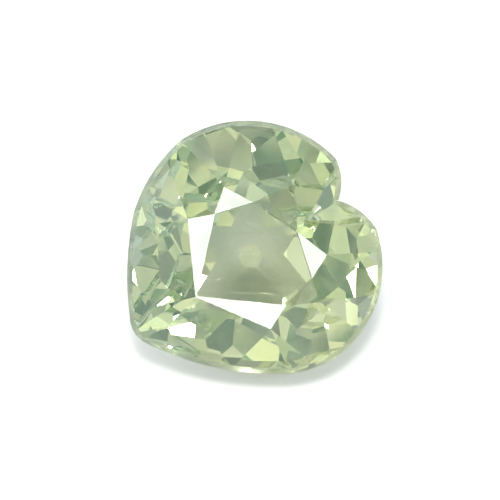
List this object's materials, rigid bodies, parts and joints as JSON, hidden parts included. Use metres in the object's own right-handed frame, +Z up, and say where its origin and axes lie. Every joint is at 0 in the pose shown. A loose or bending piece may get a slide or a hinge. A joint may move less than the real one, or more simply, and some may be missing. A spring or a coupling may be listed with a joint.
{
  "type": "heart cut sapphire",
  "caption": "Loose pale green gemstone faceted in a heart shape, with a small table, a sloping girdle band and a flat culet, lying on a pavilion facet.",
  "frame": {"origin": "on the resting face, under the middle of the stone", "axes": "+Z up from the surface the stone lies on; the table faces up and towards -Y; the heart's point is to the left and down the slope, its cleft to the right and up it"},
  "size_m": [0.0058, 0.0049, 0.0039],
  "materials": {
    "sapphire": "polished, clear, refractive index 1.77"
  },
  "bodies": {
    "root": {"heart_cut_sapphire": "sapphire"}
  },
  "joints": []
}
